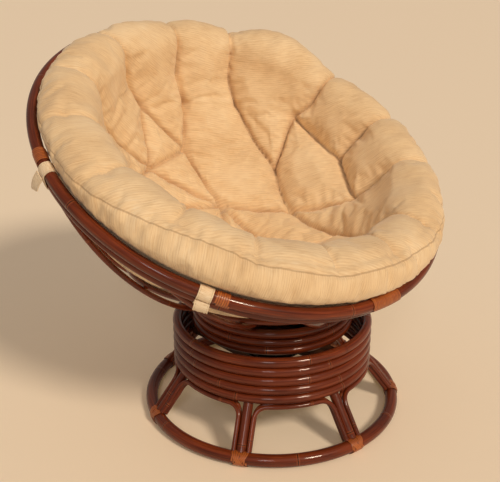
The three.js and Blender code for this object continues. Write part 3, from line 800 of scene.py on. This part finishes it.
def makeRimBindings():
    size = bowl["rim"]
    host = {"radius": size["sphere"] * sin(size["polar"]), "pole": size["pole"]}
    drop = Matrix.Translation((0, 0, -size["sphere"] * cos(size["polar"])))
    wound = bowl["winding"]
    for node, (loops, angle) in bowl["bindings"].items():
        winding = windingRound(host, loops, wound["pitch"], wound["lift"], radians(angle))
        bound = strip(node.replace("_", ""), loops * loopSteps, wound["strip"], wound["thick"], winding)
        place(bound, bowlPlace @ drop)
        finish(bound, "bowl", "cane_strip", cane, node)


makeRim()
makeLattice()
makeRimBindings()
print("bowl made")


# Cushion: a round padded cover, sewn through at tufts that creases run between

pad = {
    "bed": 0.5440, "middle": 0.4840, "half": 0.060, "bulge": 0.022, "relief": 0.0055,
    "sag": {"depth": 0.025, "turn": radians(150), "start": radians(40), "bulgeFade": 0.040},
    "seam": (
        (-150, 46), (-120, 34), (-95, 38), (-80, 51), (-72, 62), (-64, 72), (-55, 79), (-47, 78),
        (-39, 74), (-14, 71), (2, 73), (12, 70), (30, 58), (50, 50)),
    "crown": ((0.0, 0.30, 0.46, 0.56, 0.64), (0.027, 0.034, 0.040, 0.032, 0.022)),
    "creaseReach": ((0.30, 0.45, 0.62), (0.078, 0.09, 0.105)),
    "frontFlat": 0.74, "sway": 0.007, "seamOut": 0.008,
    "groove": {"depth": 0.006, "width": 0.009},
    "tuft": {"depth": 0.013, "width": 0.016},
    "pleats": {"depth": 0.006, "far": 0.13, "reach": 0.045, "clear": 0.012},
    "folds": {"depth": 0.0055, "reach": 0.026, "clear": 0.006},
    "gathers": {"dip": 0.0040, "dipWidth": 0.0045, "fold": 0.0060, "foldReach": 0.025},
    "shadeFade": {"front": 0.04, "patchy": 0.008},
    "betweenRibs": {"height": 0.0045, "width": 0.035},
    "puff": {"hold": 0.005, "frames": 16, "most": 0.010},
    "frontRoll": {"height": 0.024, "level": 0.565, "width": 0.07},
    "rearLobe": {"height": 0.030, "turn": radians(130), "width": radians(12)},
    "reach": 0.45, "columns": 512, "bedRows": 44, "underRows": 16, "overRows": 24, "seatRows": 86,
    "rimTufts": {
        "A": (24, 45, 33.7), "B": (60, 50.1, 57.8), "C": (83, 53.3, 82.1), "D": (108, 55.1, 112.8),
        "E": (149, 49, 140), "F": (171.5, 47, 166), "G": (-160.8, 49, -168), "H": (-133, 60, -133),
        "I": (-110, 45, -102.3), "J": (-86, 50, -82), "K": (-63, 51, -60), "L": (-41, 49, -38),
        "M": (-19, 51, -16), "N": (3, 50, 8)},
    "seatTufts": {
        "a": (26.7, 66.5), "b": (33.2, 104.3), "c": (29.7, 171.6), "d": (28.6, -149.7), "e": (30, -112),
        "f": (31, -62), "g": (29, -22), "h": (28, 16), "z": (7.6, 131.5)},
    "creases": "Ba Aa Ah Db Eb Fc Gc Gd Hd Id Ie Je Kf Lf Lg Mg Nh DC CB ab za zc zd ze zg zh cd".split(),
}


def seamTurn(angle):  # the seam sits high in front and drops behind the rim elsewhere
    around, turns = zip(*pad["seam"])
    return np.radians(np.interp(np.degrees(angle), around, turns, period=360))


def flatSpot(polar, angle):  # the cover laid flat, in metres from its middle
    reach = pad["reach"] * polar
    return np.array([reach * np.sin(angle), -reach * np.cos(angle)])


def creaseLines():
    spots = {}
    lines = []
    outside = bowl["rim"]["polar"] + 0.33  # a crease ends behind the rim
    for name, (edge, polar, angle) in pad["rimTufts"].items():
        spots[name] = flatSpot(radians(polar), radians(angle))
        halfway = (radians(polar) + bowl["rim"]["polar"]) / 2
        bend = radians(edge * 0.7 + angle * 0.3)
        middle = flatSpot(halfway, bend)
        lines.append((spots[name], middle, 1.0))
        lines.append((middle, flatSpot(outside, radians(edge)), 1.0))
    for name, (polar, angle) in pad["seatTufts"].items():
        spots[name] = flatSpot(radians(polar), radians(angle))
    for start, end in pad["creases"]:
        lines.append((spots[start], spots[end], 0.85))
    return np.array(list(spots.values())), lines


def nearestCrease(flat, lines):
    least = np.full(len(flat), 9.0)
    along = np.zeros(len(flat))
    for i, (start, end, weight) in enumerate(lines):
        run = end - start
        length = norm(run)
        share = np.clip(((flat - start) @ run) / length ** 2, 0, 1)
        away = norm(flat - start - share[:, None] * run, axis=1) / weight
        closer = away < least
        least[closer] = away[closer]
        along[closer] = share[closer] * length + 1.7 * i
    return least, along


def noiseAt(spots, scale, seed=0.0):
    return np.array([noise.noise(Vector((x * scale + seed, y * scale - seed, z * scale))) for x, y, z in spots])


def fadeOut(value, low, high):
    share = np.clip((value - low) / (high - low), 0, 1)
    return 1 - share * share * (3 - 2 * share)


def pleat(height, gap, size):  # fades off from a line or a tuft, and starts a little clear of it
    return height * np.exp(-gap / size["reach"]) * (1 - np.exp(-(gap / size["clear"]) ** 2))


def tuftFolds(flat, tufts):  # short pleats that fan out from each tuft
    size = pad["pleats"]
    folds = np.zeros(len(flat))
    for i, tuft in enumerate(tufts):
        run = flat - tuft
        gap = norm(run, axis=1)
        near = np.nonzero(gap < size["far"])[0]
        turn = run[near] / np.maximum(gap[near, None], 1e-6)
        fan = noiseAt(np.column_stack([turn, gap[near] * 4]), 2.6, 3.7 * i)
        folds[near] += pleat(fan, gap[near], size)
    return folds


def padHollow(flat, level, seamGap):  # how far the cover is drawn in, and how far off the nearest fold is, which sets the painted crease shade
    tufts, lines = creaseLines()
    spots = np.column_stack([flat, np.zeros(len(flat))])
    swayed = flat + pad["sway"] * np.column_stack([noiseAt(spots, 7, 3.1), noiseAt(spots, 7, 9.4)])
    gap, along = nearestCrease(swayed, lines)
    crossing = np.column_stack([along, gap * 0.25, np.zeros(len(gap))])
    upper = np.interp(seamGap, [-0.040, 0.0, 0.045], [0.0, 0.45, 1.0])
    width = np.interp(level, *pad["creaseReach"])
    crown = np.interp(level, *pad["crown"]) * upper
    front = (1 + np.cos(np.arctan2(flat[:, 0], -flat[:, 1]) + pi / 4)) / 2
    crown *= 1 - pad["frontFlat"] * front * (1 - fadeOut(level, 0.36, 0.50))
    share = np.clip(gap / width, 0, 1)
    hollow = crown * (1 - np.sqrt(1 - (1 - share) ** 2))
    groove, tuft, sewn = pad["groove"], pad["tuft"], pad["gathers"]
    hollow += groove["depth"] * np.exp(-(gap / groove["width"]) ** 2) * upper
    tuftGap = np.min(norm(swayed[:, None] - tufts[None], axis=2), axis=1)
    hollow += tuft["depth"] * np.exp(-(tuftGap / tuft["width"]) ** 2) * upper
    hollow += pad["pleats"]["depth"] * tuftFolds(swayed, tufts) * upper
    folds = pleat(noiseAt(crossing, 46, 1.3) * pad["folds"]["depth"], gap, pad["folds"])
    swell = noiseAt(spots, 6, 5.5) * 0.006 + noiseAt(spots, 17, 2.2) * 0.003
    hollow += (folds + swell) * np.interp(seamGap, [-0.07, -0.03], [0.0, 1.0])
    atSeam = flat * (0.6 / np.maximum(level, 0.3))[:, None]
    gathers = noiseAt(np.column_stack([atSeam, seamGap * 0.2]), 42, 7.7)
    hollow += sewn["dip"] * np.exp(-(seamGap / sewn["dipWidth"]) ** 2)
    hollow += sewn["fold"] * gathers * np.exp(-np.abs(seamGap) / sewn["foldReach"])
    # the painted crease shade is held off the front roll and made patchy by pushing the fold distance out
    shade = pad["shadeFade"]
    shadeOffset = shade["front"] * front ** 2 * (1 - fadeOut(level, 0.38, 0.48))
    shadeOffset += shade["patchy"] * np.abs(noiseAt(spots, 11, 6.1))
    return hollow, np.where(upper > 0.2, gap + shadeOffset, 1.0)


def fullness(level, angle):  # the fat roll along the front, and one rear lobe that stands up
    roll, lobe = pad["frontRoll"], pad["rearLobe"]
    front = (1 + np.cos(angle + pi / 4)) / 2
    swell = roll["height"] * front * np.exp(-((level - roll["level"]) / roll["width"]) ** 2)
    off = (angle - lobe["turn"] + pi) % (2 * pi) - pi
    return swell + lobe["height"] * np.exp(-(off / lobe["width"]) ** 2) * (1 - fadeOut(level, 0.50, 0.62))


def edgeSag(angle):  # how far the edge has slipped down on the slack side
    return pad["sag"]["depth"] * (1 + np.cos(angle - pad["sag"]["turn"])) / 2


def ribGap(polar, angle):  # from a place on the bed to the nearest rib under it
    ribs, low = bowl["ribs"], math.asin(bowl["hub"]["radius"] / bowl["ribs"]["inner"])
    spacing = 2 * pi / ribs["count"]
    down = (bowl["second"]["polar"] - polar) / (bowl["second"]["polar"] - low)
    start = spacing * 0.75 - spacing * ribs["crossings"] / 2 * down
    off = (angle - start + spacing / 2) % spacing - spacing / 2
    return np.abs(off) * pad["bed"] * np.sin(polar) * 0.75


def padSpots(row, angle):  # row runs from the bed's middle, round the edge, to the seat's middle
    rimPolar = bowl["rim"]["polar"]
    seam = seamTurn(angle)
    edgeRow = row - pad["bedRows"]
    bedShare = np.clip(row / pad["bedRows"], 0, 1)
    under = np.clip(edgeRow / pad["underRows"], 0, 1)
    over = np.clip((edgeRow - pad["underRows"]) / pad["overRows"], 0, 1)
    turn = seam * under + (np.pi - seam) * over
    seatShare = np.clip((edgeRow - pad["underRows"] - pad["overRows"]) / pad["seatRows"], 0, 1)
    onBed, onSeat = bedShare < 1, seatShare > 0
    seatPolar = rimPolar * (1 - seatShare)
    roundReach = pad["half"] / pad["reach"]
    level = pad["reach"] * (seatPolar + (np.pi - turn) * roundReach)
    seamGap = (turn - seam) * (pad["half"] + pad["seamOut"]) + (rimPolar - seatPolar) * pad["reach"]
    seamGap = np.where(onBed, -1.0, seamGap)
    flat = np.column_stack([level * np.sin(angle), -level * np.cos(angle)])
    hollow, creaseShadeGap = padHollow(flat, level, seamGap)
    hollow -= fullness(level, angle)
    sag, start = edgeSag(angle), pad["sag"]["start"]
    settled = fadeOut(np.where(onSeat, seatPolar, rimPolar * bedShare), start, rimPolar)
    lowered = sag / pad["middle"] * (1 - settled)
    bedPolar = rimPolar * bedShare - lowered
    narrow = pad["relief"] * (1 - fadeOut(np.degrees(bedPolar), 50, 60))
    puff = pad["betweenRibs"]
    puffed = puff["height"] * (1 - np.exp(-(ribGap(bedPolar, angle) / puff["width"]) ** 2))
    puffed *= fadeOut(bedShare, 0.82, 0.9)
    peak = 2 / math.sqrt(27)
    full = np.sin(turn) ** 2 * np.maximum(np.cos(turn), 0) / peak
    bulge = pad["bulge"] * np.maximum(1 - sag / pad["sag"]["bulgeFade"], 0) ** 2
    reach = pad["half"] + bulge * full - hollow * np.sin(np.minimum(turn, np.pi / 2))
    reach -= pad["relief"] * fadeOut(turn, 0, 0.5)
    polar = np.where(onBed, bedPolar, rimPolar - sag / pad["middle"] + reach * np.sin(turn) / pad["middle"])
    sphere = np.where(onBed, pad["bed"] - narrow + puffed, pad["middle"] + reach * np.cos(turn))
    polar = np.where(onSeat, seatPolar - lowered, polar)
    sphere = np.where(onSeat, pad["middle"] - pad["half"] + hollow, sphere)
    ring = sphere * np.sin(polar)
    spots = np.column_stack([ring * np.sin(angle), -ring * np.cos(angle), -sphere * np.cos(polar)])
    return spots, flat, seamGap, creaseShadeGap


def makeCushion():
    rows = pad["bedRows"] + pad["underRows"] + pad["overRows"] + pad["seatRows"]
    cushion = made(
        bpy.ops.mesh.primitive_uv_sphere_add, "cushionCover",
        segments=pad["columns"], ring_count=rows, radius=1)
    mesh = cushion.data
    unit = spotsOf(mesh)
    row = np.round(np.arccos(np.clip(-unit[:, 2], -1, 1)) / pi * rows)
    angle = np.arctan2(unit[:, 0], -unit[:, 1])
    spots, flat, seamGap, creaseShadeGap = padSpots(row, angle)
    mesh.vertices.foreach_set("co", spots.ravel())
    mesh.update()
    store(mesh, "seam", np.abs(seamGap))
    # the crease attribute is the fold distance that sets the painted crease shade in the cloth
    store(mesh, "crease", np.abs(creaseShadeGap))
    layCloth(mesh, flat, row)
    puffUp(cushion, row, flat)
    smooth(cushion, 180)
    place(cushion, bowlPlace)
    finish(cushion, "bowl", "cushion_cloth", cloth, "cushion")


def layCloth(mesh, flat, row):  # the weave runs crosswise on the upper panel, lengthwise below
    while mesh.uv_layers:
        mesh.uv_layers.remove(mesh.uv_layers[0])
    layer = mesh.uv_layers.new(name="flat")
    seamRow = pad["bedRows"] + pad["underRows"]
    turn = radians(30)
    top = np.column_stack([flat[:, 0] * cos(turn) - flat[:, 1] * sin(turn),
                           flat[:, 0] * sin(turn) + flat[:, 1] * cos(turn)])
    under = np.column_stack([top[:, 1], top[:, 0]])
    corner = np.empty(len(mesh.loops), np.int32)
    mesh.loops.foreach_get("vertex_index", corner)
    owner = np.repeat(np.arange(len(mesh.polygons)), [len(face.vertices) for face in mesh.polygons])
    faceRow = np.bincount(owner, row[corner]) / np.bincount(owner)
    above = faceRow[owner] > seamRow
    layout = np.where(above[:, None], top[corner], under[corner])
    layer.data.foreach_set("uv", layout.astype(np.float32).ravel())


def puffUp(cushion, row, flat):  # lets the cover swell between its creases
    mesh = cushion.data
    before = spotsOf(mesh)
    gap = nearestCrease(flat, creaseLines()[1])[0]
    held = (gap < pad["puff"]["hold"]) | (row <= pad["bedRows"] + 3)
    group = cushion.vertex_groups.new(name="held")
    group.add([int(i) for i in np.nonzero(held)[0]], 1.0, "REPLACE")
    pick(cushion)
    puff = cushion.modifiers.new("Puff", "CLOTH")
    settings = {
        "quality": 5, "mass": 0.25, "tension_stiffness": 12, "compression_stiffness": 12,
        "bending_stiffness": 0.05, "shrink_min": -0.03, "vertex_group_mass": "held",
        "use_pressure": True, "uniform_pressure_force": 3}
    for key, value in settings.items():
        setattr(puff.settings, key, value)
    puff.settings.effector_weights.gravity = 0
    puff.collision_settings.use_collision = False
    puff.point_cache.frame_start = 1
    puff.point_cache.frame_end = pad["puff"]["frames"]
    for step in range(1, pad["puff"]["frames"] + 1):
        bpy.context.scene.frame_set(step)
    bpy.ops.object.modifier_apply(modifier=puff.name)
    moved = spotsOf(mesh) - before
    length = norm(moved, axis=1, keepdims=True)
    moved *= np.minimum(1, pad["puff"]["most"] / np.maximum(length, 1e-9))
    mesh.vertices.foreach_set("co", (before + moved).ravel())
    mesh.update()
    bpy.context.scene.frame_set(1)
    print("cushion puffed, most", round(float(length.max()) * 1000, 1), "mm")


# Ties: a band sewn into a loop round the rim and the ring below it, its spare end hanging

ties = {
    "angles": (-98.18, -49.09, 49.09, 98.18), "width": 0.031, "thick": 0.002, "lift": 0.0017,
    "tails": (0.048, 0.026, 0.046, 0.048), "cuts": (0.6, 0.1, 0.2, 0.3),
    "tailLean": 22, "tailLift": 0.0055, "tailTurn": 1.45, "tailSway": 0.004, "wrap": 83,
}


def tiePath():  # in the plane out from the axis and up: round the rim, the lower ring, then the tail
    rim, second, lift = bowl["rim"], bowl["second"], ties["lift"]
    high, low = (
        np.array([ring["sphere"] * sin(ring["polar"]), -ring["sphere"] * cos(ring["polar"])])
        for ring in (rim, second))
    down = math.atan2(*(low - high)[::-1])
    wrap = radians(ties["wrap"])

    def arc(centre, radius, start, end, steps):
        turns = np.linspace(start, end, steps)
        return [centre + radius * np.array([cos(turn), sin(turn)]) for turn in turns]

    path = arc(high, rim["pole"] + lift, down + wrap, down + 2 * pi - wrap, 20)
    path += arc(low, second["pole"] + lift, down - wrap, down + wrap, 16)
    closing = path[0] - path[-1]
    path += [path[-1] + closing * share for share in (0.25, 0.5, 0.75)]
    path.append(path[0] + closing / norm(closing) * 0.001)
    return path, high, down


def makeTies():
    path, high, down = tiePath()
    for i, (angle, length, cut) in enumerate(zip(ties["angles"], ties["tails"], ties["cuts"])):
        tail = ribbon("tieTail", tailPath(high, down, length), 0.2 + i, 0.004, cut)
        parts = [ribbon("tieLoop", path, 0.3 * i, 0.0, 0.0), tail]
        tie = place(join(f"cushionTie{i + 1}", parts), bowlPlace @ Matrix.Rotation(radians(angle), 4, "Z"))
        finish(tie, "bowl", "tie_webbing", tape, f"cushion_tie_{i + 1}")


def tailPath(high, down, length):
    turn = down + ties["tailTurn"]
    start = high + (bowl["rim"]["pole"] + ties["tailLift"]) * np.array([cos(turn), sin(turn)])
    lean = down + radians(ties["tailLean"])
    ahead = np.array([cos(lean), sin(lean)])
    aside = np.array([-ahead[1], ahead[0]])
    steps, sway = 14, ties["tailSway"]
    return [
        start + length * i / steps * ahead + sway * sin(pi * i / steps) * aside
        for i in range(steps + 1)]


def ribbon(name, path, start, slant, cut):  # cut: how far the end runs askew
    steps = (len(path) - 1) * 2
    obj = made(bpy.ops.mesh.primitive_grid_add, name, x_subdivisions=steps, y_subdivisions=10, size=1)
    spots = np.array(path)
    run = runAlong(spots)
    grain = []
    for vertex in obj.data.vertices:
        across = vertex.co.y * ties["width"]
        here = (vertex.co.x + 0.5) * (run[-1] - cut * (ties["width"] / 2 + across))
        out, rise = (np.interp(here, run, spots[:, axis]) for axis in (0, 1))
        fray = slant * (vertex.co.x + 0.5) ** 3 * noise.noise(Vector((across * 300, start * 9, 0)))
        wave = 0.0006 * noise.noise(Vector((here * 60, across * 90, start * 5)))
        along = across + slant * 0.6 * (vertex.co.x + 0.5)
        vertex.co = outward(0) * (out + wave) + Vector((along, 0, rise + fray))
        grain.append((here + start, across, 0))
    store(obj.data, "grain", grain)
    modify(obj, "SOLIDIFY", thickness=ties["thick"], offset=0)
    return smooth(obj, 50)


makeCushion()
makeTies()
print("cushion and ties made")


# Floor, light and camera

def makeFloor():
    floor = made(bpy.ops.mesh.primitive_plane_add, "floor", size=60)
    ground = Look("paleFloor", Roughness=0.6, Base_Color=(*srgb(250, 238, 220), 1), Emission_Strength=1.0)
    seen = ground.node("ShaderNodeLightPath", output="Is Camera Ray")
    glow = ground.mix(seen, (0, 0, 0), (0.09, 0.055, 0.02))
    floor.data.materials.append(ground.drive(Emission_Color=glow))


def makeLight(name, spot, spread, strength, colour):
    light = made(bpy.ops.object.light_add, name, type="SUN", location=spot)
    light.data.angle = radians(spread)
    light.data.energy = strength
    light.data.color = colour
    light.rotation_euler = (Vector((0, 0, 0.5)) - Vector(spot)).to_track_quat("-Z", "Y").to_euler()


def makeCamera():
    swing, pitch, yaw = radians(45.3), radians(21.44), radians(-1.76)
    away, height = 1.867, 1.175
    bpy.ops.object.camera_add()
    camera = bpy.context.object
    camera.location = swivelAxis.xy.to_3d() + Vector((-away * sin(swing), -away * cos(swing), height))
    ahead = Vector((sin(yaw) * cos(pitch), cos(yaw) * cos(pitch), -sin(pitch)))
    ahead = Matrix.Rotation(-swing, 3, "Z") @ ahead
    camera.rotation_euler = ahead.to_track_quat("-Z", "Y").to_euler()
    camera.data.lens = 57.6
    camera.data.sensor_width = 36
    bpy.context.scene.camera = camera


def makeWorld():
    world = bpy.data.worlds.new("roomLight")
    world.use_nodes = True
    sky = world.node_tree.nodes["Background"]
    sky.inputs["Color"].default_value = (*srgb(236, 220, 206), 1)
    sky.inputs["Strength"].default_value = 0.34
    bpy.context.scene.world = world


makeFloor()
makeWorld()
makeLight("keyLight", (-0.4, -4.6, 4.4), 12, 1.85, (1.0, 0.82, 0.62))
makeLight("fillLight", (-3.0, -2.6, 3.4), 12, 0.30, (1.0, 0.95, 0.94))
makeCamera()
bpy.context.scene.view_settings.view_transform = "Standard"
